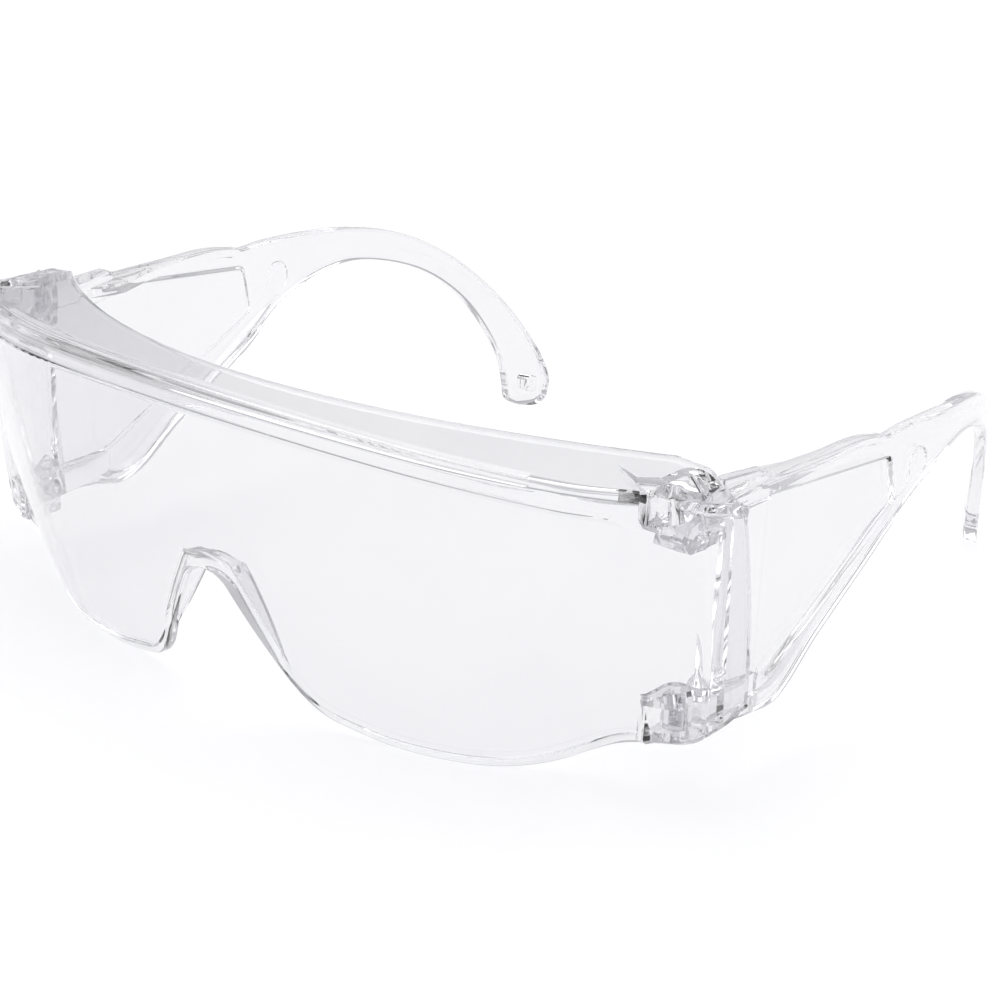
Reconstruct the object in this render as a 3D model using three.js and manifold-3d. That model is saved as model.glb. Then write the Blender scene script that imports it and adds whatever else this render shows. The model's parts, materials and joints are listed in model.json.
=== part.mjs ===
// Clear over-spectacles: one wrap-round front, two side-shield temples and four hinge pins.
// Millimetres. +Z up, +Y towards the back of the head, +X towards the wearer's left ear.
// Heights are measured from the temple tips. The lens lobes reach a little lower.
import * as THREE from 'three';
import { TessellateModifier } from 'three/addons/modifiers/TessellateModifier.js';
import { mergeVertices } from 'three/addons/utils/BufferGeometryUtils.js';
import Module from 'manifold-3d';

const wasm = await Module();
wasm.setup();

// ---- driving dimensions: front moulding ----
const wall = 2.2; // lens and side wall thickness
const browRadius = 144; // plan radius of the lens
const wrapStart = 62; // half width at which the lens turns into the side wall
const wrapRadius = 24; // plan radius of that turn
const sideAngle = THREE.MathUtils.degToRad(84); // direction of the side wall in plan
const frontDepth = 54.4; // lens centre, forward of the temple window's front edge
const sideEnd = 96.5; // rear edge of the side wall, measured round the outer surface
const browHeight = 57.8; // top of the lens at the centre
const browDrop = 4.1; // how much lower the brow line is at browStation
const browStation = 60;
const frontLean = 0.23; // rearward lean of the lens, per mm of height
const frontCrown = 4.2; // how far the lens bows forward at mid height
const cornerEase = 7; // how far the turn is drawn inwards at the lower edge
const sideLean = 0.146; // the same for the side wall
const sideBulge = 2.0; // outward bulge of the side wall at mid height
const ledgeThickness = 2.2; // brow ledge
const ledgeRearCentre = 43.4; // rear edge of the ledge at the centre, forward of the datum
const ledgeRearRise = 25.2; // how far back that edge has come at browStation
const ledgeCorner = 65.5; // half width of the ledge's rear corner
const ledgeEndDepth = 12.2; // rear end of the ledge over the hinge
const notchRadius = 5.5; // nose notch: top arc
const notchCentreHeight = 20;
const notchFlare = THREE.MathUtils.degToRad(60.7); // slope of the notch's legs
const notchFootWidth = 13.2; // half width of the notch where its legs start to turn out
const flangeThickness = 2.2; // nose flange
const flangeRear = [[-44, 2.6], [-42.2, 7], [-41.2, 13], [-41.7, 20], [-43.6, 30]]; // its rear edge (y, z)
const lobeStart = { across: 20.5, up: 0.9 }; // where the notch's turned-out foot meets the lobe
const lobeDrop = 1.5; // lowest point of the lobes, below the temple tips
const sideBottom = 7.4; // lower edge of the side wall
const bandReach = 77; // half width over which the brow and lower edges are drawn

// ---- driving dimensions: hinge ----
const hingeX = 70.5;
const hingeY = -16.5;
const pinRadius = 1.2;
const pinClearance = 0.1;
const barrelRadius = 2.6; // temple knuckle round the pin
const earRadius = 3.1; // front's ears round the pin
const earThickness = 2;
const knuckleGap = 0.3; // above and below each knuckle
const upperKnuckle = { low: browHeight - 14.2, high: browHeight - 9.4 };
const lowerKnuckle = { low: 9.4, high: 13.4 };
const swingRoom = 0.4; // round each knuckle, cut out of the side wall
const earClearance = 0.4; // between the ears and the temple's panel
const webClearance = 1.9; // ahead of each knuckle, so that the temple can swing
const webReach = 2; // how much further in than the ears it runs
const webThickness = 2; // wall that joins the two ears of a hinge, ahead of the knuckle
const pocketDepth = 6.4; // recess in the brow ledge ahead of the upper hinge
const pocketLength = 6;
const pocketFloor = 1.6; // thickness under that recess
const seatInset = 0.3; // hinge seats stop this far inside the side wall's outer face

// ---- driving dimensions: temples ----
const templeX = 74.4; // outer face at the window's front edge
const armThickness = 2.6;
const templeTaper = 0.03; // inward slope of the panel, per mm of length
const bendStart = 50; // where the arm starts to curve in behind the ear
const bendRate = 0.0047; // inward curve of the arm, per mm squared
const recessDepth = 0.9; // sunk window in the outer face
const flangeHeight = 2; // thickness of the gusset along the top edge
const gussetWidth = 7.6; // its width beside the hinge
const gussetEnd = 37; // where it ends
const crestHeight = browHeight - 10.5; // top edge of the temple beside the hinge
const ribThickness = 1.7; // strut, inside the panel
const shieldOverlap = 2; // how far the panel tucks inside the side wall
const holeRadius = 1.0; // cord hole in the tip
const holeHalfLength = 0.8;

const clearPlastic = { color: 0xe9edf0, roughness: 0.06, metalness: 0, transparent: true, opacity: 0.35 };

// ---- helpers ----
const xy = (x, y) => new THREE.Vector2(x, y);

function toSolid(geometry) {
  const bare = geometry.clone();
  bare.deleteAttribute('normal');
  bare.deleteAttribute('uv');
  const merged = mergeVertices(bare, 1e-4);
  const mesh = new wasm.Mesh({
    numProp: 3,
    vertProperties: new Float32Array(merged.attributes.position.array),
    triVerts: new Uint32Array(merged.index.array),
  });
  return new wasm.Manifold(mesh);
}

function toMesh(name, solid) {
  const { vertProperties, triVerts } = solid.getMesh();
  const geometry = new THREE.BufferGeometry();
  geometry.setAttribute('position', new THREE.BufferAttribute(new Float32Array(vertProperties), 3));
  geometry.setIndex(new THREE.BufferAttribute(new Uint32Array(triVerts), 1));
  geometry.computeVertexNormals();
  const mesh = new THREE.Mesh(geometry, new THREE.MeshStandardMaterial(clearPlastic));
  mesh.name = name;
  return mesh;
}

// Moves every vertex of a geometry by a function of its place.
function warp(geometry, move) {
  const place = geometry.attributes.position;
  const point = new THREE.Vector3();
  for (let i = 0; i < place.count; i += 1) {
    point.fromBufferAttribute(place, i);
    move(point);
    place.setXYZ(i, point.x, point.y, point.z);
  }
  return geometry;
}

const extrude = (shape, depth, steps = 1) =>
  new THREE.ExtrudeGeometry(shape, { depth, steps, bevelEnabled: false, curveSegments: 12 });

// A shape drawn in plan, standing from low to high.
function planPrism(outline, low, high, steps = 1) {
  return extrude(new THREE.Shape(outline), high - low, steps).translate(0, 0, low);
}

// A shape drawn in front view, running from the front (low y) to the back.
function frontPrism(outline, front, back) {
  return extrude(new THREE.Shape(outline), back - front).rotateX(Math.PI / 2).translate(0, back, 0);
}

// A shape drawn in side view as (y, z), running from low x to high x.
function sidePrism(outline, low, high) {
  const turn = new THREE.Matrix4().makeBasis(
    new THREE.Vector3(0, 1, 0),
    new THREE.Vector3(0, 0, 1),
    new THREE.Vector3(1, 0, 0),
  );
  return extrude(new THREE.Shape(outline), high - low).applyMatrix4(turn).translate(low, 0, 0);
}

function upright(x, y, radius, low, high) {
  const cylinder = new THREE.CylinderGeometry(radius, radius, high - low, 24);
  return cylinder.rotateX(Math.PI / 2).translate(x, y, (low + high) / 2);
}

const mirrored = (outline, side) => outline.map((p) => xy(p.x * side, p.y));

// ---- front moulding ----
const wrapAngle = Math.asin(wrapStart / browRadius);
const wrapLength = browRadius * wrapAngle;
const wrapEnd = wrapLength + wrapRadius * (sideAngle - wrapAngle);

// Plan curve of the lens: point at distance s round the surface, set in by an offset.
function planPoint(s, offset = 0) {
  const along = Math.abs(s);
  let angle = Math.min(along, wrapLength) / browRadius;
  let x = browRadius * Math.sin(angle);
  let y = browRadius * (1 - Math.cos(angle)) - frontDepth;
  if (along > wrapLength) {
    const turned = Math.min(along, wrapEnd);
    angle = wrapAngle + (turned - wrapLength) / wrapRadius;
    x += wrapRadius * (Math.sin(angle) - Math.sin(wrapAngle));
    y += wrapRadius * (Math.cos(wrapAngle) - Math.cos(angle));
  }
  const straight = Math.max(along - wrapEnd, 0);
  x += straight * Math.cos(angle) - offset * Math.sin(angle);
  y += straight * Math.sin(angle) + offset * Math.cos(angle);
  return xy(Math.sign(s) * x, y);
}

function planCurve(from, to, offset) {
  const points = [];
  const count = 52;
  for (let i = 0; i <= count; i += 1) {
    points.push(planPoint(from + ((to - from) * i) / count, offset));
  }
  return points;
}

const blend = (value, from, to) => THREE.MathUtils.smoothstep(value, from, to);
const sideShare = (x) => blend(Math.abs(x), wrapStart, wrapStart + 0.5 * wrapRadius);

const turnFront = planPoint(wrapLength).y - 0.42 * wrapRadius;
const turnMiddle = planPoint(wrapLength).y + 0.2 * wrapRadius;
const turnBack = planPoint(wrapEnd).y - 0.15 * wrapRadius;
const easeDirection = (wrapAngle + sideAngle) / 2;

// Leans the lens back towards the cheeks and bows it forward at mid height. The side walls bulge,
// and the turn between lens and side wall is drawn in, more and more towards the lower edge.
function leanAndBulge(point) {
  const share = sideShare(point.x);
  const half = browHeight / 2;
  const bow = 1 - ((point.z - half) / half) ** 2;
  const drop = (browHeight - point.z) / browHeight;
  const ease = cornerEase * drop * blend(point.y, turnFront, turnMiddle) * (1 - blend(point.y, turnMiddle, turnBack));
  point.y += THREE.MathUtils.lerp(frontLean, sideLean, share) * (browHeight - point.z);
  point.y -= (1 - share) * frontCrown * bow;
  point.x += Math.sign(point.x) * (share * sideBulge * bow - ease * Math.sin(easeDirection));
  point.y += ease * Math.cos(easeDirection);
}

const browLine = (x) => browHeight - browDrop * (x / browStation) ** 2;

function browCurve(halfWidth, drop) {
  const points = [];
  const count = 28;
  for (let i = 0; i <= count; i += 1) {
    const x = -halfWidth + (2 * halfWidth * i) / count;
    points.push(xy(x, browLine(x) - drop));
  }
  return points;
}

const legDirection = xy(Math.cos(notchFlare), -Math.sin(notchFlare));
const legTop = xy(notchRadius * Math.sin(notchFlare), notchCentreHeight + notchRadius * Math.cos(notchFlare));
const legLength = (notchFootWidth - legTop.x) / legDirection.x;
const legFoot = legTop.clone().addScaledVector(legDirection, legLength);

// Right half of the lens's lower edge: notch arc, leg, turned-out foot, lobe and side.
function lowerEdge() {
  const points = [];
  for (let i = 0; i <= 8; i += 1) {
    const angle = (notchFlare * i) / 8;
    points.push(xy(notchRadius * Math.sin(angle), notchCentreHeight + notchRadius * Math.cos(angle)));
  }
  const lobeTop = xy(lobeStart.across, lobeStart.up);
  const footTurn = legFoot.clone().addScaledVector(legDirection, 5.4);
  points.push(...new THREE.QuadraticBezierCurve(legFoot, footTurn, lobeTop).getPoints(6));
  const lobe = new THREE.SplineCurve([
    lobeTop,
    xy(29, -1),
    xy(39, -lobeDrop),
    xy(48, -1.2),
    xy(56, 0),
    xy(62, 1.7),
    xy(67, 3.9),
    xy(72, sideBottom - 1.5),
    xy(bandReach, sideBottom),
  ]);
  points.push(...lobe.getPoints(22).slice(1));
  return points;
}

function frontOutline() {
  const right = lowerEdge();
  const beyond = browRadius;
  const sideTop = [
    xy(beyond, sideBottom),
    xy(beyond, browLine(bandReach)),
    xy(bandReach, browLine(bandReach)),
  ];
  const top = browCurve(bandReach, 0).reverse().slice(1, -1);
  const left = [...right.slice(1), ...sideTop].reverse().map((p) => xy(-p.x, p.y));
  return [...right, ...sideTop, ...top, ...left];
}

const hingeEndY = planPoint(sideEnd).y;
const rearEdgeY = (z) => hingeEndY + sideLean * (browHeight - z);

// Keeps the side wall's upper and lower rear corners trimmed, in side view.
function sideTrim() {
  const back = 0;
  return [
    xy(-90, -10),
    xy(-24, -10),
    xy(-20, 6.6),
    xy(rearEdgeY(10) - 1, 9.6),
    xy(back, 13.5),
    xy(back, browHeight - 11.6),
    xy(rearEdgeY(47), browHeight - 10.6),
    xy(-ledgeEndDepth - 1, browHeight + 2.2),
    xy(-90, browHeight + 12),
  ];
}

function buildWall() {
  const outer = planCurve(-sideEnd, sideEnd, 0);
  const inner = planCurve(-sideEnd, sideEnd, wall).reverse();
  const sheet = warp(planPrism([...outer, ...inner], -6, browHeight + 6, 8), leanAndBulge);
  return toSolid(sheet);
}

// Everything behind the lens surface, set in by an offset.
function behindLens(offset) {
  const region = [...planCurve(-sideEnd, sideEnd, offset), xy(60, 0), xy(-60, 0)];
  return toSolid(warp(planPrism(region, -6, browHeight + 6, 8), leanAndBulge));
}

function buildLedge() {
  const front = planCurve(-sideEnd, sideEnd, wall / 2).filter((p) => p.y < -ledgeEndDepth);
  const rear = [];
  for (let i = 0; i <= 24; i += 1) {
    const x = ledgeCorner - (2 * ledgeCorner * i) / 24;
    rear.push(xy(x, ledgeRearRise * (x / browStation) ** 2 - ledgeRearCentre));
  }
  const deepest = xy(ledgeCorner, -ledgeEndDepth - 1);
  const outline = [...front, deepest, ...rear.slice(1, -1), xy(-deepest.x, deepest.y)];
  const plate = toSolid(planPrism(outline, browHeight - 18, browHeight + 12));
  const band = [...browCurve(bandReach, 0), ...browCurve(bandReach, ledgeThickness).reverse()];
  return plate.intersect(toSolid(frontPrism(band, -70, 0)));
}

// Nose flange: a collar that follows the notch and reaches back from the lens.
function buildNoseFlange() {
  const inside = lowerEdge().filter((p) => p.x < 17);
  const outside = [];
  for (let i = 0; i <= 8; i += 1) {
    const angle = (notchFlare * i) / 8;
    const reach = notchRadius + flangeThickness;
    outside.push(xy(reach * Math.sin(angle), notchCentreHeight + reach * Math.cos(angle)));
  }
  outside.push(xy(legFoot.x + flangeThickness * 1.1, legFoot.y + 0.9), xy(17.6, 4.2));
  const mirror = (points) => points.slice(1).map((p) => xy(-p.x, p.y));
  const collar = [...mirror(outside).reverse(), ...outside, ...inside.slice().reverse(), ...mirror(inside)];
  const rear = new THREE.SplineCurve(flangeRear.map(([y, z]) => xy(y, z))).getPoints(12);
  const depth = [xy(-70, 0), ...rear, xy(-70, 34)];
  return toSolid(frontPrism(collar, -70, -20))
    .intersect(toSolid(sidePrism(depth, -30, 30)))
    .intersect(behindLens(0));
}

// Ear plate round the pin, reaching outwards into the side wall.
function earOutline(front) {
  const points = [];
  for (let i = 0; i <= 10; i += 1) {
    const angle = Math.PI / 2 + (Math.PI * i) / 20;
    points.push(xy(hingeX + earRadius * Math.cos(angle), hingeY + earRadius * Math.sin(angle)));
  }
  const outward = templeX + wall;
  points.push(xy(hingeX - earRadius, hingeY - 1), xy(hingeX - earRadius - webReach, front));
  points.push(xy(outward, front), xy(outward, hingeY + earRadius));
  return points;
}

const webFront = hingeY - barrelRadius - webClearance - webThickness;
const pocketFront = webFront - pocketLength;
const webInner = hingeX - earRadius - webReach;
const earTop = browLine(templeX + wall) - 0.2;

// Ears, web and pocket bowl of both knuckles on one side, kept within the side wall's outer face.
function hingeSeat(side) {
  const upperBase = upperKnuckle.low - knuckleGap - earThickness;
  const lowerTop = lowerKnuckle.high + knuckleGap + earThickness;
  const lowerBase = lowerKnuckle.low - knuckleGap - earThickness;
  const ear = mirrored(earOutline(webFront), side);
  const plates = [
    planPrism(ear, upperBase, upperKnuckle.low - knuckleGap),
    planPrism(ear, upperKnuckle.high + knuckleGap, earTop),
    planPrism(ear, lowerBase, lowerKnuckle.low - knuckleGap),
    planPrism(ear, lowerKnuckle.high + knuckleGap, lowerTop),
  ];
  const webPlan = [
    xy(webInner, webFront),
    xy(templeX + wall, webFront),
    xy(templeX + wall, webFront + webThickness),
    xy(webInner, webFront + webThickness),
  ];
  plates.push(planPrism(mirrored(webPlan, side), upperBase, earTop));
  plates.push(planPrism(mirrored(webPlan, side), lowerBase, lowerTop));
  const bowl = [
    xy(hingeX - earRadius - 1, webFront + 1),
    xy(hingeX - 1.4, pocketFront - 1.4),
    xy(templeX + 0.6, pocketFront - 1.4),
    xy(templeX + 1.8, webFront + 1),
  ];
  plates.push(planPrism(mirrored(bowl, side), browLine(hingeX) - pocketDepth - pocketFloor, earTop));
  return plates
    .map(toSolid)
    .reduce((solid, plate) => solid.add(plate))
    .intersect(behindLens(seatInset));
}

function cutHinge(front, side) {
  const pocket = [
    xy(61.9, webFront - 2.6),
    xy(hingeX - 2.6, pocketFront + 1.1),
    xy(hingeX - 0.6, pocketFront),
    xy(templeX - 0.6, pocketFront),
    xy(templeX + 0.2, webFront - 0.6),
    xy(hingeX - earRadius + 0.6, webFront - 0.6),
    xy(hingeX - earRadius + 0.2, webFront - 3.2),
  ];
  const floor = browLine(hingeX) - pocketDepth;
  const opened = front.subtract(toSolid(planPrism(mirrored(pocket, side), floor, browHeight)));
  const bore = pinRadius + pinClearance;
  const cuts = [upright(side * hingeX, hingeY, bore, -5, browHeight)];
  for (const { low, high } of [upperKnuckle, lowerKnuckle]) {
    cuts.push(upright(side * hingeX, hingeY, barrelRadius + swingRoom, low - knuckleGap, high + knuckleGap));
  }
  return cuts.map(toSolid).reduce((solid, cut) => solid.subtract(cut), opened);
}

function buildFront() {
  let front = buildWall().add(buildLedge());
  front = front.intersect(toSolid(sidePrism(sideTrim(), -120, 120)));
  front = front.intersect(toSolid(frontPrism(frontOutline(), -120, 40)));
  front = front.add(hingeSeat(1)).add(hingeSeat(-1));
  front = cutHinge(cutHinge(front, 1), -1);
  return front.add(buildNoseFlange());
}

// ---- temples ----
// Outer face of a temple in plan: straight panel, then an arm that curves in.
const templeFace = (y) =>
  templeX - templeTaper * Math.max(y, 0) - bendRate * Math.max(y - bendStart, 0) ** 2;

// Front edge of the shield: tucked inside the side wall, but clear of the ears.
const tuck = (z) => Math.max(rearEdgeY(z) - shieldOverlap, hingeY + earRadius + earClearance);

function templeOutline() {
  const top = new THREE.SplineCurve([xy(38, 45), xy(57, 44.2), xy(69, 43.1), xy(78, 41.3), xy(85.5, 38.3)]);
  const hookOuter = new THREE.SplineCurve([
    xy(85.5, 38.3),
    xy(93, 33.6),
    xy(99, 28.2),
    xy(104.5, 21.7),
    xy(109, 14.6),
    xy(112, 8.6),
    xy(112.8, 4.8),
    xy(111.2, 1.2),
    xy(108.6, 0),
    xy(106, 0.9),
    xy(105, 3.4),
    xy(105, 7.2),
  ]);
  const hookInner = new THREE.SplineCurve([
    xy(105, 7.2),
    xy(102.6, 13.2),
    xy(98.6, 20.1),
    xy(93.8, 26),
    xy(88, 30.6),
    xy(80, 34.3),
    xy(71.5, 36.2),
    xy(63, 35.6),
    xy(56, 33.7),
    xy(46, 29.2),
  ]);
  const shield = [xy(46, 29.2), xy(30, 20.3), xy(9, 7.6), xy(5.4, 6)];
  const frontEdge = [xy(tuck(10) + 1, 8), xy(tuck(12), 12), xy(tuck(28), 28), xy(tuck(45), 45)];
  const crest = [xy(tuck(47) + 1, crestHeight), xy(gussetEnd - 1.2, 46), xy(gussetEnd, 45.1)];
  return [
    ...crest,
    ...top.getPoints(14),
    ...hookOuter.getPoints(34).slice(1),
    ...hookInner.getPoints(30).slice(1),
    ...shield.slice(1),
    ...frontEdge,
  ];
}

// Corners of the sunk window, rounded.
function windowOutline() {
  const corners = [xy(0, 44.9), xy(39.6, 40.6), xy(42, 31.2), xy(3.4, 12.4), xy(0, 14.6)];
  const radius = 1.4;
  const points = [];
  corners.forEach((corner, i) => {
    const before = corners[(i + corners.length - 1) % corners.length];
    const after = corners[(i + 1) % corners.length];
    const start = corner.clone().add(before.clone().sub(corner).setLength(radius));
    const end = corner.clone().add(after.clone().sub(corner).setLength(radius));
    points.push(...new THREE.QuadraticBezierCurve(start, corner, end).getPoints(3));
  });
  return points;
}

// Splits long triangles, so that a flat plate can follow the curved face.
const fineTriangles = new TessellateModifier(9, 20);

const followFace = (point) => {
  point.x += templeFace(point.y) - templeX;
};

function buildTemple(side) {
  const warpFace = (geometry) => toSolid(warp(fineTriangles.modify(geometry), followFace));
  const inner = templeX - armThickness;
  let temple = warpFace(sidePrism(templeOutline(), inner, templeX));
  temple = temple.subtract(warpFace(sidePrism(windowOutline(), templeX - recessDepth, templeX + 1)));

  const gusset = [
    xy(templeX - 1, -9),
    xy(hingeX - barrelRadius + 1, -9),
    xy(templeX - gussetWidth, -1.5),
    xy(templeX - gussetWidth, 1.5),
    xy(templeX - 4.9, 10),
    xy(templeX - 3.4, 20),
    xy(templeX - 2.5 - templeTaper * gussetEnd, gussetEnd),
    xy(templeX - 1 - templeTaper * gussetEnd, gussetEnd),
  ];
  const crestBand = [
    xy(-9, crestHeight),
    xy(gussetEnd, 46.2),
    xy(gussetEnd, 46.2 - flangeHeight),
    xy(-9, crestHeight - flangeHeight),
  ];
  const gussetBlock = toSolid(planPrism(gusset, 30, 60)).intersect(toSolid(sidePrism(crestBand, 40, 90)));
  temple = temple.add(gussetBlock);

  const strut = [xy(1.5, 6.2), xy(9, 7.6), xy(30, 20.3), xy(46, 29.2), xy(44, 32), xy(40, 29.4), xy(1.5, 11)];
  const strutPlan = [
    xy(templeX - 1, -2),
    xy(templeX - armThickness - ribThickness, -2),
    xy(templeX - armThickness - ribThickness, 12),
    xy(templeX - armThickness - 1.2, 47),
    xy(templeX - 2, 47),
  ];
  const strutBlock = toSolid(sidePrism(strut, 50, templeX)).intersect(toSolid(planPrism(strutPlan, 0, 40)));
  temple = temple.add(strutBlock);

  [upperKnuckle, lowerKnuckle].forEach((knuckle) => {
    const link = [
      xy(hingeX - barrelRadius + 0.6, hingeY),
      xy(hingeX + barrelRadius - 0.6, hingeY),
      xy(templeX - 1, -6.5),
      xy(templeX - 1, 1.8),
      xy(templeX - armThickness - ribThickness, 1.8),
      xy(hingeX - barrelRadius + 0.6, -6),
    ];
    temple = temple.add(toSolid(upright(hingeX, hingeY, barrelRadius, knuckle.low, knuckle.high)));
    temple = temple.add(toSolid(planPrism(link, knuckle.low, knuckle.high)));
  });
  temple = temple.subtract(toSolid(upright(hingeX, hingeY, pinRadius + pinClearance, -5, browHeight)));

  const hole = [];
  for (let i = 0; i < 20; i += 1) {
    const angle = (Math.PI * i) / 10;
    const shift = Math.sin(angle) >= 0 ? holeHalfLength : -holeHalfLength;
    hole.push(xy(109 + holeRadius * Math.cos(angle), 5 + shift + holeRadius * Math.sin(angle)));
  }
  temple = temple.subtract(warpFace(sidePrism(hole, templeX - 8, templeX + 4)));
  if (side > 0) return temple;
  return mirrorSolid(temple);
}

// The other temple is the mirror image: x changes sign, and each triangle turns over.
function mirrorSolid(solid) {
  const { vertProperties, triVerts } = solid.getMesh();
  const flipped = Float32Array.from(vertProperties, (value, i) => (i % 3 === 0 ? -value : value));
  const turned = Uint32Array.from(triVerts, (value, i) => triVerts[i - (i % 3) + [0, 2, 1][i % 3]]);
  return new wasm.Manifold(new wasm.Mesh({ numProp: 3, vertProperties: flipped, triVerts: turned }));
}

// ---- hinge pins ----
function buildPin(side, low, high) {
  return toSolid(upright(side * hingeX, hingeY, pinRadius, low, high));
}

const pinEnds = {
  upper: [upperKnuckle.low - knuckleGap - earThickness + 0.3, browLine(hingeX) - 0.8],
  lower: [lowerKnuckle.low - knuckleGap - earThickness + 0.3, lowerKnuckle.high + knuckleGap + earThickness - 0.3],
};

const glasses = new THREE.Group();
glasses.add(toMesh('lens_front', buildFront()));
for (const [label, side] of [['left', 1], ['right', -1]]) {
  glasses.add(toMesh(`${label}_temple`, buildTemple(side)));
  for (const [level, [low, high]] of Object.entries(pinEnds)) {
    glasses.add(toMesh(`${label}_${level}_hinge_pin`, buildPin(side, low, high)));
  }
}

// Origin: middle of the footprint, on the surface that the glasses stand on.
const box = new THREE.Box3().setFromObject(glasses);
glasses.position.set(0, -(box.min.y + box.max.y) / 2, -box.min.z);

export default glasses;
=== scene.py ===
import json
import bpy
import numpy as np
from mathutils import Matrix, Vector


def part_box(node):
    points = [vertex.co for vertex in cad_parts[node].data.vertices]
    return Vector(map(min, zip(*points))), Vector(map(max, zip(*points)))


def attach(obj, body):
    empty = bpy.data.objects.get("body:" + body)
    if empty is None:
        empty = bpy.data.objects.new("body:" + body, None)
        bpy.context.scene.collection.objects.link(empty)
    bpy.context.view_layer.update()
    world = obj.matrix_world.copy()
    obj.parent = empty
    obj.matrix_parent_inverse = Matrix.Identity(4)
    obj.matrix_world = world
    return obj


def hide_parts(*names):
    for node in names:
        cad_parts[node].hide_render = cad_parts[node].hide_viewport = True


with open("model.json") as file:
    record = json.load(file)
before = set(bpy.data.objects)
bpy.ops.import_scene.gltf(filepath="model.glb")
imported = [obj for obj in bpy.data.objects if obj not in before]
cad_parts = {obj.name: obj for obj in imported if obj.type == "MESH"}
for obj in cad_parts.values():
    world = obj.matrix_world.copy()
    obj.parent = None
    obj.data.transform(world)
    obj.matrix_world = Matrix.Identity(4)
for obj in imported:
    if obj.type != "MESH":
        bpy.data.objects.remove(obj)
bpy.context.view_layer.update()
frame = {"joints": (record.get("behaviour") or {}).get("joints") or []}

# Clear over-spectacles. Shapes are worked out in millimetres from the hinge datum, then placed in metres.
foldJoint = {j["name"]: j for j in frame["joints"]}["left_temple_fold"]
hinge = {
    "x": foldJoint["pos_m"][0] * 1000,  # pin axis, across
    "y": -16.5,                         # pin axis, behind the datum
    "upper": (43.6, 48.4),              # knuckle heights
    "lower": (9.4, 13.4),
    "gap": 0.3,                         # above and below each knuckle
    "pin": 1.2,
    "bore": 1.3,
    "knuckle": 2.6,
    "ear": 3.1,
    "earThickness": 2.0,
}
datum = np.array([0, foldJoint["pos_m"][1] * 1000 - hinge["y"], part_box("left_temple")[0][2] * 1000])


def smooth(value, low, high):
    # Smoothstep: 3t squared minus 2t cubed, with t running from low to high
    t = np.clip((value - low) / (high - low), 0, 1)
    return t * t * (3 - 2 * t)


def through(at, points):
    # Catmull-Rom: a cubic through every point, each slope half the step between its neighbours
    points = np.asarray(points, float)
    x, p = points[:, 0], points[:, 1:]
    slope = np.gradient(p, x, axis=0)
    i = np.clip(np.searchsorted(x, at) - 1, 0, len(x) - 2)
    h = (x[i + 1] - x[i])[..., None]
    t = (np.clip(at, x[0], x[-1])[..., None] - x[i][..., None]) / h
    a, b = 2 * t**3 - 3 * t**2 + 1, t**3 - 2 * t**2 + t
    c, d = 3 * t**2 - 2 * t**3, t**3 - t**2
    out = a * p[i] + b * h * slope[i] + c * p[i + 1] + d * h * slope[i + 1]
    return out[..., 0] if out.shape[-1] == 1 else out


def stops(*spans):
    # Stations: each span runs to its end in even steps of about the size given
    out = [np.array([spans[0][0]], float)]
    for start, end, step in spans:
        out.append(np.linspace(start, end, max(2, round((end - start) / step) + 1))[1:])
    return np.concatenate(out)


def makePiece(name, points, faces):
    mesh = bpy.data.meshes.new(name)
    place = ((points + datum) / 1000).astype(np.float32)
    mesh.from_pydata(place.tolist(), [], faces)
    mesh.validate()
    mesh.update()
    mesh.polygons.foreach_set("use_smooth", np.ones(len(mesh.polygons), bool))
    piece = bpy.data.objects.new(name, mesh)
    bpy.context.scene.collection.objects.link(piece)
    return piece


def tubeFaces(rows, ring, flip=False):
    # Quads between neighbouring rings of a closed profile, as index arithmetic on the grid
    i, j = np.meshgrid(np.arange(rows - 1), np.arange(ring), indexing="ij")
    k = (j + 1) % ring
    here, after = i * ring, (i + 1) * ring
    quads = np.stack([here + j, here + k, after + k, after + j], -1).reshape(-1, 4)
    return (quads[:, ::-1] if flip else quads).tolist()


def loft(rings, flip=False):
    # Closed solid from an array of rings (row, place on the ring, xyz), with both ends capped
    rows, ring = rings.shape[:2]
    faces = tubeFaces(rows, ring, flip)
    near, far = np.arange(ring)[::-1].tolist(), ((rows - 1) * ring + np.arange(ring)).tolist()
    faces += [near[::-1], far[::-1]] if flip else [near, far]
    return rings.reshape(-1, 3), faces


def gather(*solids):
    # One vertex array and one face list out of several solids
    points, faces, first = [], [], 0
    for p, f in solids:
        points.append(p)
        faces += [[i + first for i in face] for face in f]
        first += len(p)
    return np.concatenate(points), faces


def mirrorX(solid):
    # The mirror image: x changes sign and each face turns over
    points, faces = solid
    return points * [-1, 1, 1], [face[::-1] for face in faces]


def boolean(piece, points, faces, operation):
    tool = makePiece(piece.name + "Tool", points, faces)
    cut = piece.modifiers.new(operation.title(), "BOOLEAN")
    cut.operation = operation
    cut.solver = "EXACT"
    cut.object = tool
    graph = bpy.context.evaluated_depsgraph_get()
    result = bpy.data.meshes.new_from_object(piece.evaluated_get(graph))
    piece.modifiers.clear()
    piece.data = result
    bpy.data.objects.remove(tool)


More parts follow.
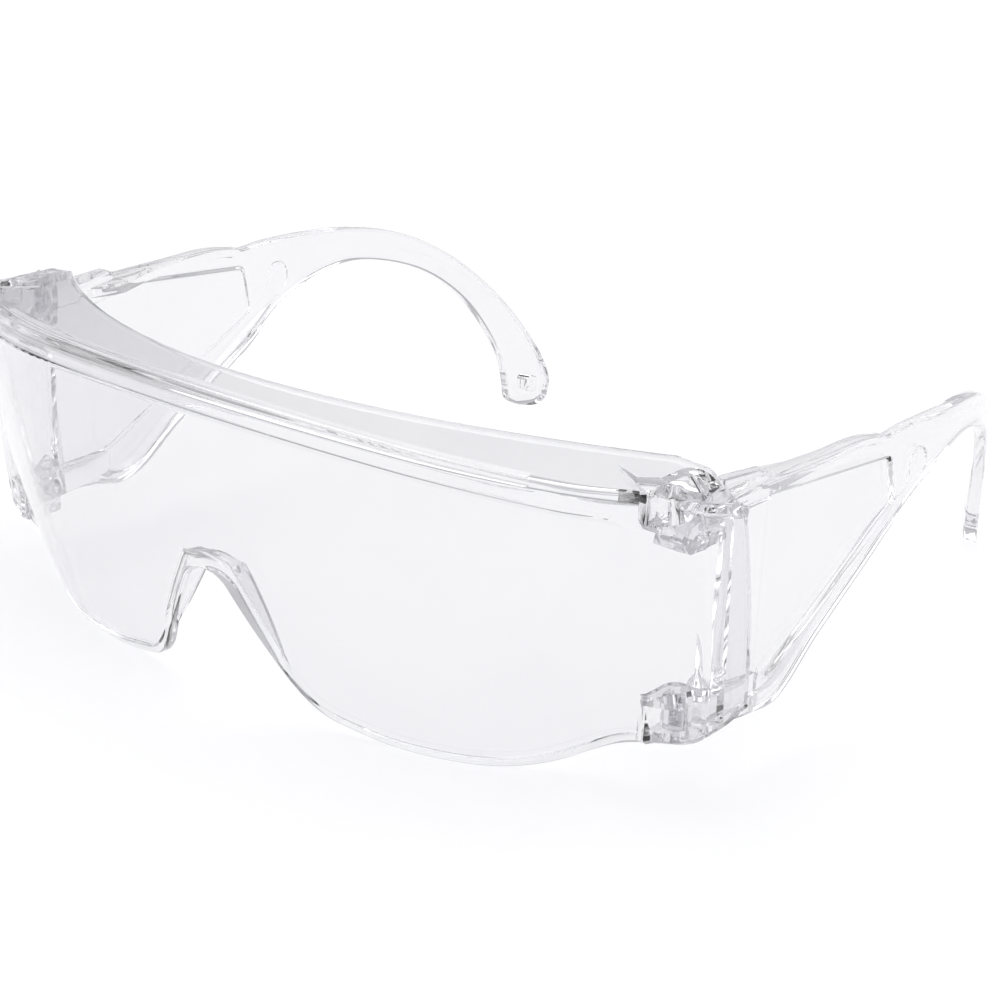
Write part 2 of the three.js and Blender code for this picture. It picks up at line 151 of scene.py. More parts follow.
lens = {
    "wall": 2.2, "height": 57.8,
    "browRadius": 144, "wrapStart": 62, "wrapRadius": 24, "sideAngle": np.radians(84),
    "depth": 54.4,                      # lens centre, forward of the datum
    "sideEnd": 96.5,                    # rear edge of the side wall, round the outer surface
    "lean": 0.23, "crown": 4.2,         # rearward lean per mm, and forward bow at mid height
    "sideLean": 0.146, "sideBulge": 2.0,
    "ease": 7, "topEase": 2.0,          # how far the turn is drawn in at the lower and upper edge
    "browDrop": 4.1, "dropAt": 60,      # brow line lower by this, that far from the centre
    "turnFrom": 0.42, "turnMiddle": 0.2, "turnTo": 0.15,  # reach of the drawn-in corner, in wrap radii
    "droop": 4, "droopFrom": 80,        # further drop of the brow towards the side wall's rear edge
    "crease": 0.55, "fillet": 1.3,      # rounding over the brow edge, and under the ledge
    "ledge": 2.2, "ledgeRear": (-43.4, 25.2), "ledgeCorner": 65.5,
    "lineDepth": 0.3, "lineHalf": 0.4,  # moulded groove round the viewing zone: depth and half width
    "lineBelow": 4.4, "lineAbove": 2.0,  # its distance from the brow and from the lower edge
    "lineSide": 75.6, "lineCorner": 2.2,  # its place round the lens, and how its corner is softened
    "bandDepth": 0.45, "bandAt": 86,    # side band
}
lens["wrapAngle"] = np.arcsin(lens["wrapStart"] / lens["browRadius"])
lens["wrapLength"] = lens["browRadius"] * lens["wrapAngle"]
lens["wrapEnd"] = lens["wrapLength"] + lens["wrapRadius"] * (lens["sideAngle"] - lens["wrapAngle"])


def planPoint(s):
    # Plan curve: an arc, then a tighter arc, then a straight, with the direction at each place
    along = np.abs(s)
    first = np.minimum(along, lens["wrapLength"]) / lens["browRadius"]
    second = np.clip(along - lens["wrapLength"], 0, lens["wrapEnd"] - lens["wrapLength"])
    angle = first + second / lens["wrapRadius"]
    r1, r2 = lens["browRadius"], lens["wrapRadius"]
    straight = np.clip(along - lens["wrapEnd"], 0, None)
    x = r1 * np.sin(first) + r2 * (np.sin(angle) - np.sin(first)) + straight * np.cos(angle)
    y = r1 * (1 - np.cos(first)) + r2 * (np.cos(first) - np.cos(angle)) + straight * np.sin(angle)
    return x, y - lens["depth"], angle


def lensPoint(s, inset, z):
    # Plan curve swept in height: leaned back, bowed forward, side bulged out, corners drawn in
    # inset runs along the inward normal
    s, inset, z = np.broadcast_arrays(*(np.asarray(v, float) for v in (s, inset, z)))
    x, y, angle = planPoint(s)
    half, height = lens["height"] / 2, lens["height"]
    share = smooth(x, lens["wrapStart"], lens["wrapStart"] + 0.5 * lens["wrapRadius"])
    bow = 1 - ((z - half) / half) ** 2
    front = planPoint(lens["wrapLength"])[1]
    back = planPoint(lens["wrapEnd"])[1] - lens["turnTo"] * lens["wrapRadius"]
    middle = front + lens["turnMiddle"] * lens["wrapRadius"]
    turn = smooth(y, front - lens["turnFrom"] * lens["wrapRadius"], middle) * (1 - smooth(y, middle, back))
    ease = (lens["topEase"] + (lens["ease"] - lens["topEase"]) * (height - z) / height) * turn
    aim = (lens["wrapAngle"] + lens["sideAngle"]) / 2
    lean = lens["lean"] + (lens["sideLean"] - lens["lean"]) * share
    px = x - inset * np.sin(angle) + share * lens["sideBulge"] * bow - ease * np.sin(aim)
    py = y + inset * np.cos(angle) + lean * (height - z) - (1 - share) * lens["crown"] * bow
    return np.stack([np.where(s < 0, -px, px), py + ease * np.cos(aim), z], -1)


def browLine(x):
    return lens["height"] - lens["browDrop"] * (x / lens["dropAt"]) ** 2


notch = {
    "radius": 5.5, "centre": 20, "flare": np.radians(60.7), "foot": 13.2,
    "flange": 2.2, "footSlope": 0.30,
    "round": 0.8, "web": 1.6, "fade": (11.5, 16.5),
    "rear": [(2.6, -45.6), (7, -44.2), (13, -43.4), (20, -43.8), (30, -45.4)],
}
lobe = [(20.5, 0.9), (29, -1), (39, -1.5), (48, -1.2), (56, 0), (62, 1.7), (67, 3.7), (72, 5.5),
        (77, 6.8), (86, 8.1), (92, 9.2), (97, 11)]


def lowerEdge(s):
    # Height of the lower edge: notch arc, straight leg, a cubic turn-out, then the lobe's curve
    a = np.abs(s)
    r, flare = notch["radius"], notch["flare"]
    tangent = r * np.sin(flare)
    arc = notch["centre"] + np.sqrt(np.clip(r * r - a * a, 0, None))
    legTop = notch["centre"] + r * np.cos(flare)
    leg = legTop - (a - tangent) * np.tan(flare)
    footTop = legTop - (notch["foot"] - tangent) * np.tan(flare)
    span = lobe[0][0] - notch["foot"]
    t = np.clip((a - notch["foot"]) / span, 0, 1)
    h00, h10 = 2 * t**3 - 3 * t**2 + 1, t**3 - 2 * t**2 + t
    h01, h11 = 3 * t**2 - 2 * t**3, t**3 - t**2
    foot = h00 * footTop - h10 * span * np.tan(flare) + h01 * lobe[0][1] - h11 * span * notch["footSlope"]
    out = np.where(a < tangent, arc, np.where(a < notch["foot"], leg, foot))
    return np.where(a > lobe[0][0], through(a, lobe), out)


def bend(start, corner, end, count):
    # Quadratic curve from start to end that leans towards the corner
    t = np.linspace(0, 1, count)[None, :, None]
    return (1 - t) ** 2 * start[:, None] + 2 * t * (1 - t) * corner[:, None] + t**2 * end[:, None]


def line(start, end, count):
    # Straight run of points, both ends left out
    t = np.linspace(0, 1, count + 2)[None, 1:-1, None]
    return (1 - t) * start[:, None] + t * end[:, None]


def spread(start, end, count):
    # Even steps from one array of places to another
    return start[:, None] + (end - start)[:, None] * np.linspace(0, 1, count)[None]


def buildFront():
    # A closed profile carried round the plan curve: outer face, crease, ledge, its rear edge and
    # underside, inner face, nose flange, lower edge
    e, wall = lens["sideEnd"], lens["wall"]
    side = stops((0, 22, 0.3), (22, 63, 0.85), (63, 79, 0.3), (79, 85.6, 0.8),
                 (85.6, 86.4, 0.2), (86.4, e, 0.7))
    s = np.concatenate([-side[:0:-1], side])
    n = len(s)
    a = np.abs(s)
    sign = np.where(s < 0, -1.0, 1.0)
    low = lowerEdge(s)
    droop = lens["droop"] * np.clip((a - lens["droopFrom"]) / (e - lens["droopFrom"]), 0, 1) ** 1.3
    crest = browLine(planPoint(s)[0]) - droop

    # ledge: plan line from the brow edge to the rear edge
    out = lensPoint(s, 0, crest)
    turnIn = lens["wrapLength"]
    alongRear = np.clip(a / turnIn, 0, 1) * lens["ledgeCorner"]
    rearY = lens["ledgeRear"][0] + lens["ledgeRear"][1] * (alongRear / lens["dropAt"]) ** 2
    end = lensPoint(np.array([e]), wall, 47)[0]
    beyond = np.clip((a - turnIn) / (e - turnIn), 0, 1)
    cornerX = lens["ledgeCorner"]
    cornerY = lens["ledgeRear"][0] + lens["ledgeRear"][1] * (cornerX / lens["dropAt"]) ** 2
    qx = np.where(a <= turnIn, alongRear, cornerX + (end[0] - cornerX) * beyond)
    qy = np.where(a <= turnIn, rearY, cornerY + (end[1] - cornerY) * smooth(beyond, 0, 1))
    run = np.stack([sign * qx, qy], -1) - out[:, :2]
    depth = np.linalg.norm(run, axis=1)
    run = run / depth[:, None]

    def onLedge(reach, drop):
        # A point reach behind the brow edge and drop below the ledge's top face
        xy = out[:, :2] + run * np.asarray(reach)[..., None]
        top = browLine(np.abs(xy[:, 0])) - droop
        return np.concatenate([xy, (top - drop)[:, None]], 1)

    inner = lensPoint(s, wall, crest)
    wallReach = np.sum((inner[:, :2] - out[:, :2]) * run, axis=1)
    wallReach = np.clip(wallReach, 0, depth)
    crease, halfLedge, fillet = lens["crease"], lens["ledge"] / 2, lens["fillet"]
    spare = np.clip((depth - wallReach) / halfLedge, 0, 1)
    openness = np.clip((depth - wallReach - 1) / 3, 0.02, 1)
    rows = []

    # outer face, from the lower edge up, with the groove round the viewing zone and the side band
    lift = 0.8
    lowZone, highZone = low + 3.4, crest - 6
    z = np.concatenate([
        spread(low + lift, lowZone, 12),
        spread(lowZone, highZone, 44)[:, 1:],
        spread(highZone, crest - crease, 22)[:, 1:],
    ], 1)
    # distance inwards from a rounded frame: side line, line under the brow, line over the lower edge
    toSide = lens["lineSide"] - a[:, None] + 0 * z
    toBrow = (crest - lens["lineBelow"])[:, None] - z
    toLow = z - (low + lens["lineAbove"])[:, None]
    total = sum(np.exp(-np.clip(d, -12, 40) / lens["lineCorner"]) for d in (toSide, toBrow))
    away = np.minimum(-lens["lineCorner"] * np.log(total), toLow)

    def groove(distance):
        # Depth of a V-shaped groove at a distance from its line
        return lens["lineDepth"] * np.clip(1 - np.abs(distance) / lens["lineHalf"], 0, 1)

    besideNose = groove(away) * smooth(a[:, None], 12, 16)
    overNose = groove(toBrow) * (1 - smooth(a[:, None], 14, 18))
    step = np.maximum(besideNose, overNose)
    band = lens["bandDepth"] * smooth(a[:, None], lens["bandAt"] - 0.3, lens["bandAt"] + 0.3)
    band = band * smooth(crest[:, None] - z, 0.5, 2.5)
    rows.append(lensPoint(s[:, None], step + band, z))
    creaseAt = np.concatenate([out[:, :2], crest[:, None]], 1)
    rows.append(bend(rows[0][:, -1], creaseAt, onLedge(np.full(n, crease), 0), 6)[:, 1:])

    # ledge top, rear edge, underside
    for u in np.linspace(0, 1, 12)[1:]:
        rows.append(onLedge(crease + u * (depth - halfLedge - crease), 0)[:, None])
    for u in np.linspace(0, 1, 9)[1:]:
        angle = np.pi / 2 - u * (np.pi / 2 + spare * np.pi / 2)
        reach = depth - halfLedge + halfLedge * np.cos(angle)
        rows.append(onLedge(reach, halfLedge * (1 - np.sin(angle)))[:, None])
    underStart = rows[-1][:, 0]
    underDrop = halfLedge * (1 + np.sin(spare * np.pi / 2))
    underEnd = onLedge(wallReach + fillet * openness, underDrop)
    rows.append(line(underStart, underEnd, 9))
    top = underEnd[:, 2] - fillet * openness
    innerTop = lensPoint(s, wall, top)
    corner = np.concatenate([lensPoint(s, wall, underEnd[:, 2])[:, :2], underEnd[:, 2:]], 1)
    rows.append(bend(underEnd, corner, innerTop, 6))

    # nose flange depth behind the inner face, and its thickness measured upright
    slope = np.abs(np.gradient(low, s))
    presence = 1 - smooth(a, *notch["fade"])
    thick = notch["flange"] * np.sqrt(1 + np.clip(slope, 0, 1.8) ** 2)
    rear = np.array(notch["rear"], float)

    def flangeDepth(height):
        reach = through(np.clip(height, rear[0, 0], rear[-1, 0]), rear) - lensPoint(s, wall, height)[:, 1]
        return np.clip(reach, 0, None) * presence

    def onFlange(height, back):
        point = lensPoint(s, wall, height)
        point[:, 1] += back
        return point

    roundUp = notch["round"]
    topDepth, lowDepth = flangeDepth(low + thick), flangeDepth(low)
    upper = np.minimum(roundUp, topDepth)
    web = notch["web"] * np.clip(topDepth / 3, 0, 1)
    t = np.linspace(0, 1, 44)[None]
    innerLow = low + thick + web
    z = top[:, None] * (1 - t) + innerLow[:, None] * t
    rows.append(lensPoint(s[:, None], wall, z)[:, 1:])
    webEnd = onFlange(low + thick, np.minimum(web, topDepth))
    rows.append(bend(rows[-1][:, -1], onFlange(low + thick, 0), webEnd, 6)[:, 1:])
    rows.append(line(rows[-1][:, -1], onFlange(low + thick, topDepth - upper), 5))
    backEdge = onFlange(low + thick - upper, flangeDepth(low + thick - upper))
    flangeTop = onFlange(low + thick, topDepth - upper)
    rows.append(bend(flangeTop, onFlange(low + thick, topDepth), backEdge, 5))
    lowBack = onFlange(low + roundUp, flangeDepth(low + roundUp))
    rows.append(line(backEdge, lowBack, 3))

    # lower edge, back to front
    under = lensPoint(s, wall - roundUp, low)
    under[:, 1] += lowDepth
    rows.append(bend(lowBack, onFlange(low, lowDepth), under, 5))
    frontLow = lensPoint(s, roundUp, low)
    rows.append(line(under, frontLow, 5))
    rows.append(bend(frontLow, lensPoint(s, 0, low), rows[0][:, 0], 5)[:, :-1])
    rings = np.concatenate(rows, axis=1)
    return loft(rings)


seat = {
    "webBehind": 3.9, "web": 2,         # web ahead of each knuckle, and its thickness
    "roof": 51.0, "floor": 45.3,        # of the upper seat
    "earReach": 1,                     # ears end this far behind the pin axis
    "outer": (73.9, 73.6),              # outer side of the upper and lower seat
    "inWall": 0.9,                      # both end this deep in the side wall
    "leastWidth": 1.2, "outerSlope": 0.02,
    "drawIn": 3.2,                      # how far the front rounds back towards its inner side
    "pocketFloor": 46.9, "boreTop": 51.4,
}


def wallAt(y, z):
    # How far across the side wall's inner layer stands, at each place along it and height
    s = np.linspace(60, lens["sideEnd"], 120)
    out = np.empty(np.shape(y))
    for i, (placeY, placeZ) in enumerate(zip(y, z)):
        wall = lensPoint(s, seat["inWall"], placeZ)
        out[i] = np.interp(placeY, wall[:, 1], wall[:, 0])
    return out


def hingeBlock(profile, inner, upTo):
    # A side-view profile (y, z) carried across in x, its rear end rounded about the pin
    across = stops((inner, hinge["x"], 0.35), (hinge["x"], upTo, 0.7))
    dx = np.clip(hinge["x"] - across, 0, hinge["ear"])
    reach = np.sqrt(hinge["ear"] ** 2 - dx**2)
    outline = np.asarray(profile, float)
    rings = np.empty((len(across), len(outline), 3))
    limit = np.maximum(wallAt(outline[:, 0], outline[:, 1]), inner + seat["leastWidth"])
    outerSide = limit[None] + seat["outerSlope"] * (across[:, None] - inner)
    rings[..., 0] = np.minimum(across[:, None], outerSide)
    rings[..., 2] = outline[None, :, 1]
    atRear = outline[:, 0] > hinge["y"]
    toMiddle = np.clip((hinge["x"] - across) / (hinge["x"] - inner), 0, 1)
    drawIn = seat["drawIn"] * (1 - np.sqrt(1 - 0.98 * toMiddle**2))
    atFront = np.clip((hinge["y"] - outline[:, 0]) / 8, 0, 1) * (hinge["y"] - 7 > outline[:, 0])
    frontY = outline[None, :, 0] + drawIn[:, None] * atFront[None]
    rings[..., 1] = np.where(atRear[None], hinge["y"] + reach[:, None], frontY)
    return loft(rings, flip=True)


def prism(outline, low, high, flip=False):
    # An outline in plan, standing from low to high
    outline = np.asarray(outline, float)
    levels = np.array([low, high], float)
    rings = np.empty((2, len(outline), 3))
    rings[..., :2] = outline[None]
    rings[..., 2] = levels[:, None]
    return loft(rings, flip)


def circle(x, y, radius, count=48):
    turn = np.linspace(0, 2 * np.pi, count, endpoint=False)
    return np.stack([x + radius * np.cos(turn), y + radius * np.sin(turn)], -1)


def buildHingeSeats():
    # Ears and webs that hold the knuckles, as E-shaped side profiles
    gap, ear = hinge["gap"], hinge["earThickness"]
    back = hinge["y"] + seat["earReach"]
    webFront = hinge["y"] - hinge["knuckle"] - seat["webBehind"]
    webBack = webFront + seat["web"]
    roof, floor = seat["roof"], seat["floor"]
    slotLow, slotHigh = hinge["upper"][0] - gap, hinge["upper"][1] + gap
    upper = [
        (webFront - 7, roof), (webFront - 6.7, floor + 2.2), (webFront - 5.6, floor + 0.7),
        (webFront - 3.6, floor), (webFront - 1.2, floor - 0.8), (webFront, slotLow - ear + 0.5),
        (webFront + 0.8, slotLow - ear), (back, slotLow - ear), (back, slotLow), (webBack, slotLow),
        (webBack, slotHigh), (back, slotHigh), (back, roof),
    ]
    slotLow, slotHigh = hinge["lower"][0] - gap, hinge["lower"][1] + gap
    lower = [
        (webFront, slotHigh + ear), (webFront - 0.3, slotLow - ear + 0.8),
        (webFront + 0.6, slotLow - ear), (back, slotLow - ear), (back, slotLow), (webBack, slotLow),
        (webBack, slotHigh), (back, slotHigh), (back, slotHigh + ear),
    ]
    inner = hinge["x"] - hinge["ear"]
    return hingeBlock(upper, inner, seat["outer"][0]), hingeBlock(lower, inner, seat["outer"][1])


def buildPockets():
    # Recess in the ledge ahead of the upper hinge, with a long pointed slit on its inner side
    webFront = hinge["y"] - hinge["knuckle"] - seat["webBehind"]
    outline = [
        (61.9, webFront - 2.6), (66.2, webFront - 3.4), (68.0, webFront - 0.6), (73.4, webFront - 0.6),
        (73.0, webFront - 5.8), (69.9, webFront - 6.2), (66.6, webFront - 4.9),
    ]
    return prism(outline, seat["pocketFloor"], 60, flip=True)


def steadyNormals(piece, angle=40):
    # Smooth shading that breaks only at real corners
    mesh = piece.data
    mesh.polygons.foreach_set("use_smooth", np.ones(len(mesh.polygons), bool))
    mesh.set_sharp_from_angle(angle=np.radians(angle))


print("front moulding")
front = makePiece("lensFront", *buildFront())
seats = buildHingeSeats()
boolean(front, *gather(*seats, *(mirrorX(solid) for solid in seats)), "UNION")
bore = prism(circle(hinge["x"], hinge["y"], hinge["bore"]), -6, seat["boreTop"])
pocket = buildPockets()
boolean(front, *gather(bore, pocket, mirrorX(bore), mirrorX(pocket)), "DIFFERENCE")
steadyNormals(front)
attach(front, "front")
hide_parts("lens_front")

temple = {
    "x": 74.4, "taper": 0.03, "bendStart": 50, "bendRate": 0.0047,
    "panel": 2.6, "edge": 0.55,
    "recess": 0.65, "recessWall": 0.9,
    "gusset": 7.6, "gussetEnd": 37, "gussetThickness": 2.0,
    "rib": 1.7,
    "mark": (49.2, 36.5, 3.0), "markDepth": 0.16,
    "hole": (109, 5, 1.0, 0.8),
}


def templeFace(y):
    # Outer face in plan: a straight taper, then a parabola that curves in behind the ear
    back = np.clip(y - temple["bendStart"], 0, None)
    return temple["x"] - temple["taper"] * np.clip(y, 0, None) - temple["bendRate"] * back**2


def windowShare(y, z):
    # 1 inside the sunk window, 0 outside: distance to the nearest of its five rounded edges
    corners = np.array([(0, 44.9), (0, 14.6), (3.4, 12.4), (42, 31.2), (39.6, 40.6)])
    point = np.stack([y, z], -1)
    inside = np.full(y.shape, np.inf)
    soft = 1.1
    total = np.zeros(y.shape)
    for i in range(len(corners)):
        a, b = corners[i], corners[(i + 1) % len(corners)]
        along = (b - a) / np.linalg.norm(b - a)
        normal = np.array([-along[1], along[0]])
        distance = (point - a) @ normal
        inside = np.minimum(inside, distance)
        total += np.exp(-np.clip(distance, -20, 20) / soft * 2.2)
    rounded = -np.log(total) * soft / 2.2
    return smooth(rounded, -temple["recessWall"] / 2, temple["recessWall"] / 2)


def buildTemple():
    # Across each station the outline's lower and upper edge are joined; both faces are heights above
    # that line, so panel, window, gusset, rib and mark are all one closed skin
    frontLow, frontHigh = (-10.4, 8.0), (-12.2, 47.3)
    # station number, then that edge's y and z
    lowerPath = [
        (0, *frontLow), (11, 0, 6.7), (17, 6.5, 6.3), (30, 20, 14.2), (46, 36, 23.3), (54, 43.2, 27.6),
        (62, 50.5, 31.7), (70, 58, 34.6), (80, 68, 36.4), (90, 77.5, 35), (100, 86.5, 31.5),
        (110, 94, 25.8), (120, 99.6, 18.7), (130, 103.7, 10.6), (137, 105, 4.8), (140, 105.3, 2.8),
    ]
    upperPath = [
        (0, *frontHigh), (11, 0, 46.9), (17, 5.4, 46.7), (30, 16.6, 46.5), (46, 31.3, 46.2),
        (54, 38.5, 45), (62, 48, 44.7), (70, 58, 44.2), (80, 69.5, 43.1), (90, 80.5, 40.4), (100, 91, 35),
        (110, 100, 27.2), (120, 107, 18.4), (130, 111.8, 9.2), (137, 112.8, 4.6), (140, 112.5, 2.9),
    ]
    stations = stops((0, 10.4, 0.75), (10.4, 11.6, 0.15), (11.6, 53, 0.75), (53, 55, 0.15), (55, 60, 0.6),
                     (60, 72, 0.3), (72, 137, 0.7), (137, 140, 0.4))
    low, high = through(stations, lowerPath), through(stations, upperPath)
    crestStep = 0.5 * smooth(stations, 52.6, 53.1) * (1 - smooth(stations, 53.1, 60))
    high[:, 1] -= crestStep
    span = np.linalg.norm(high - low, axis=1)

    # places across: fine near both edges and at the window's edges
    fine = temple["edge"]
    nearLow = np.array([0.0, 0.25, 0.6, 1.1, 1.7, 2.3, 2.6, 2.85, 3.1])
    nearHigh = np.array([2.3, 2.0, 1.75, 1.2, 0.7, 0.3, 0.0])
    scale = np.clip(span / 12, 0.2, 1)[:, None]

    def edgeCrossing(a, b):
        # Share of the way across where each station line meets the line through a and b
        a, b = np.array(a, float), np.array(b, float)
        normal = np.array([-(b - a)[1], (b - a)[0]])
        return ((a - low) @ normal) / (((high - low) @ normal) + 1e-9)

    inWindow = smooth(stations, 4, 11) * (1 - smooth(stations, 54, 62))
    lowCross = edgeCrossing((3.4, 12.4), (42, 31.2)) * inWindow + 0.4 * (1 - inWindow)
    highCross = edgeCrossing((0, 44.9), (39.6, 40.6)) * inWindow + 0.7 * (1 - inWindow)
    first = (nearLow[-1] * scale[:, 0]) / span
    last = 1 - (nearHigh[0] * scale[:, 0]) / span
    half = (0.5 * temple["recessWall"]) / span
    lowCross = np.clip(lowCross, first + 0.04, 0.62)
    highCross = np.clip(highCross, lowCross + 0.1, last - 0.03)

    def between(p, q, count):
        return p[:, None] + (q - p)[:, None] * np.linspace(0, 1, count)[None]

    w = np.concatenate([
        nearLow[None] * scale / span[:, None],
        between(first, lowCross - half, 6)[:, 1:],
        between(lowCross - half, lowCross + half, 4)[:, 1:],
        between(lowCross + half, highCross - half, 34)[:, 1:],
        between(highCross - half, highCross + half, 4)[:, 1:],
        between(highCross + half, last, 5)[:, 1:-1],
        1 - nearHigh[None] * scale / span[:, None],
    ], 1)
    y = low[:, None, 0] + (high - low)[:, None, 0] * w
    z = low[:, None, 1] + (high - low)[:, None, 1] * w
    fromLow, fromHigh = w * span[:, None], (1 - w) * span[:, None]

    # both faces
    face = templeFace(y)
    markY, markZ, markR = temple["mark"]
    ringDistance = np.abs(np.hypot(y - markY, z - markZ) - markR)
    markShare = 1 - smooth(ringDistance, 0.05, 0.4)
    outer = face - temple["recess"] * windowShare(y, z) - temple["markDepth"] * markShare
    widest, end = temple["gusset"], temple["gussetEnd"]
    gussetWidth = np.interp(y, [-12, -9, -1.5, 1.5, 10, 20, end, end + 1.5],
                            [4.5, 5.6, widest, widest, 4.9, 3.6, 2.7, temple["panel"]])
    onTop = 1 - smooth(fromHigh, temple["gussetThickness"] - 0.25, temple["gussetThickness"] + 0.05)
    rib = temple["rib"] * (1 - smooth(fromLow, 2.35, 2.75)) * smooth(y, 0, 3) * (1 - smooth(y, 38, 50))
    thickness = temple["panel"] + np.clip(gussetWidth - temple["panel"], 0, None) * onTop + rib
    tip = smooth(stations, 118, 134)[:, None]
    arm = smooth(stations, 56, 76)[:, None]
    thickness = thickness + 0.25 * arm * np.sin(np.pi * w) + 0.35 * tip
    inner = face - thickness

    # rounded edges: both faces close in towards the middle near each edge
    near = np.minimum(fromLow, fromHigh)
    rounding = fine * (1 - np.sqrt(np.clip(1 - (1 - np.clip(near / fine, 0, 1)) ** 2, 0, 1)))
    outer = outer - rounding
    inner = inner + rounding
    outerRing = np.stack([outer, y, z], -1)
    innerRing = np.stack([inner, y, z], -1)[:, ::-1]
    rings = np.concatenate([outerRing, innerRing], 1)

    # the tip closes over a quarter round
    for angle in np.linspace(0, np.pi / 2, 9)[1:]:
        ring = rings[len(stations) - 1].copy()
        centre = ring.mean(axis=0)
        ring = centre + (ring - centre) * [np.cos(angle) ** 0.5, np.cos(angle), 1]
        ring[:, 2] -= 2.85 * np.sin(angle)
        rings = np.concatenate([rings, ring[None]], 0)
    return loft(rings, flip=True)


arm = {
    "sunk": 1.4, "proud": 1.6,          # knuckle arm below the outer face, and past the inner face
    "end": 1.8, "edge": 0.25,           # where it ends in the panel, and its edge rounding
}


def buildKnuckles():
    # Each knuckle is a round barrel with an arm that runs back into the panel
    solids = []
    x, y, r = hinge["x"], hinge["y"], hinge["knuckle"]
    for low, high in (hinge["lower"], hinge["upper"]):
        turn = np.linspace(0, np.pi, 20)
        nose = np.stack([x - r * np.cos(turn), y - r * np.sin(turn)], -1)
        armOuter, armInner = temple["x"] - arm["sunk"], temple["x"] - temple["panel"] - arm["proud"]
        rest = [(x + r, y + 3), (armOuter, -6.5), (armOuter, arm["end"]), (armInner, arm["end"]),
                (x - r + 0.5, -6)]
        outline = np.concatenate([nose, rest])
        levels = np.array([low, low + arm["edge"], high - arm["edge"], high])
        inset = np.array([arm["edge"], 0, 0, arm["edge"]])
        centre = np.array([x, y + 5])
        rings = np.empty((4, len(outline), 3))
        shrink = 1 - inset / 4
        rings[..., :2] = centre + (outline[None] - centre) * shrink[:, None, None]
        rings[..., 2] = levels[:, None]
        solids.append(loft(rings))
    return solids


def buildTempleCuts():
    # Pin bore, and the oval cord hole through the tip
    bore = prism(circle(hinge["x"], hinge["y"], hinge["bore"]), -6, 60)
    cy, cz, r, half = temple["hole"]
    turn = np.linspace(0, 2 * np.pi, 40, endpoint=False)
    stretch = np.where(np.sin(turn) >= 0, half, -half)
    oval = np.stack([cy + r * np.cos(turn), cz + r * np.sin(turn) + stretch], -1)
    across = np.array([30.0, 80.0])
    rings = np.empty((2, len(oval), 3))
    rings[..., 0] = across[:, None]
    rings[..., 1:] = oval[None]
    return bore, loft(rings)


print("temples")
plate = buildTemple()
knuckles = buildKnuckles()
cuts = buildTempleCuts()
for side, flipped in (("left", False), ("right", True)):
    turned = mirrorX if flipped else (lambda solid: solid)
    piece = makePiece(side + "Temple", *turned(plate))
    boolean(piece, *gather(*(turned(k) for k in knuckles)), "UNION")
    boolean(piece, *gather(*(turned(c) for c in cuts)), "DIFFERENCE")
    steadyNormals(piece)
    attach(piece, side + "_temple")
    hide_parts(side + "_temple")


pinShape = {"edge": 0.35, "tip": 0.02, "sides": 40}


def buildPin(side, node):
    # A turned pin: radius against height, rounded at both ends, spun about the hinge axis
    low, high = (corner[2] * 1000 - datum[2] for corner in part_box(node))
    r, edge, tip, sides = hinge["pin"], pinShape["edge"], pinShape["tip"], pinShape["sides"]
    turn = np.linspace(0, np.pi / 2, 6)
    lowerRound, upperRound = r - edge + edge * np.sin(turn), r - edge + edge * np.cos(turn)
    lowerRise, upperRise = low + edge - edge * np.cos(turn), high - edge + edge * np.sin(turn)
    radius = np.concatenate([[tip], lowerRound, upperRound, [tip]])
    height = np.concatenate([[low], lowerRise, upperRise, [high]])
    around = np.linspace(0, 2 * np.pi, sides, endpoint=False)
    rings = np.empty((len(radius), sides, 3))
    rings[..., 0] = side * hinge["x"] + radius[:, None] * np.cos(around)
    rings[..., 1] = hinge["y"] + radius[:, None] * np.sin(around)
    rings[..., 2] = height[:, None]
    return loft(rings)


print("hinge pins")
pins = []
for sideName, side in (("left", 1), ("right", -1)):
    for level in ("upper", "lower"):
        node = f"{sideName}_{level}_hinge_pin"
        pin = makePiece(f"{sideName}{level.title()}Pin", *buildPin(side, node))
        steadyNormals(pin)
        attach(pin, "front")
        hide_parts(node)
        pins.append(pin)


def newGroup(name, inputs, outputs):
    group = bpy.data.node_groups.new(name, "ShaderNodeTree")
    for label, kind, value in inputs:
        socket = group.interface.new_socket(label, in_out="INPUT", socket_type=kind)
        if value is not None:
            socket.default_value = value
    for label, kind in outputs:
        group.interface.new_socket(label, in_out="OUTPUT", socket_type=kind)
    return group, group.nodes.new("NodeGroupInput"), group.nodes.new("NodeGroupOutput")


def addNode(tree, kind, **values):
    node = tree.nodes.new(kind)
    for key, value in values.items():
        if hasattr(node, key):
            setattr(node, key, value)
        else:
            node.inputs[key.replace("_", " ")].default_value = value
    return node


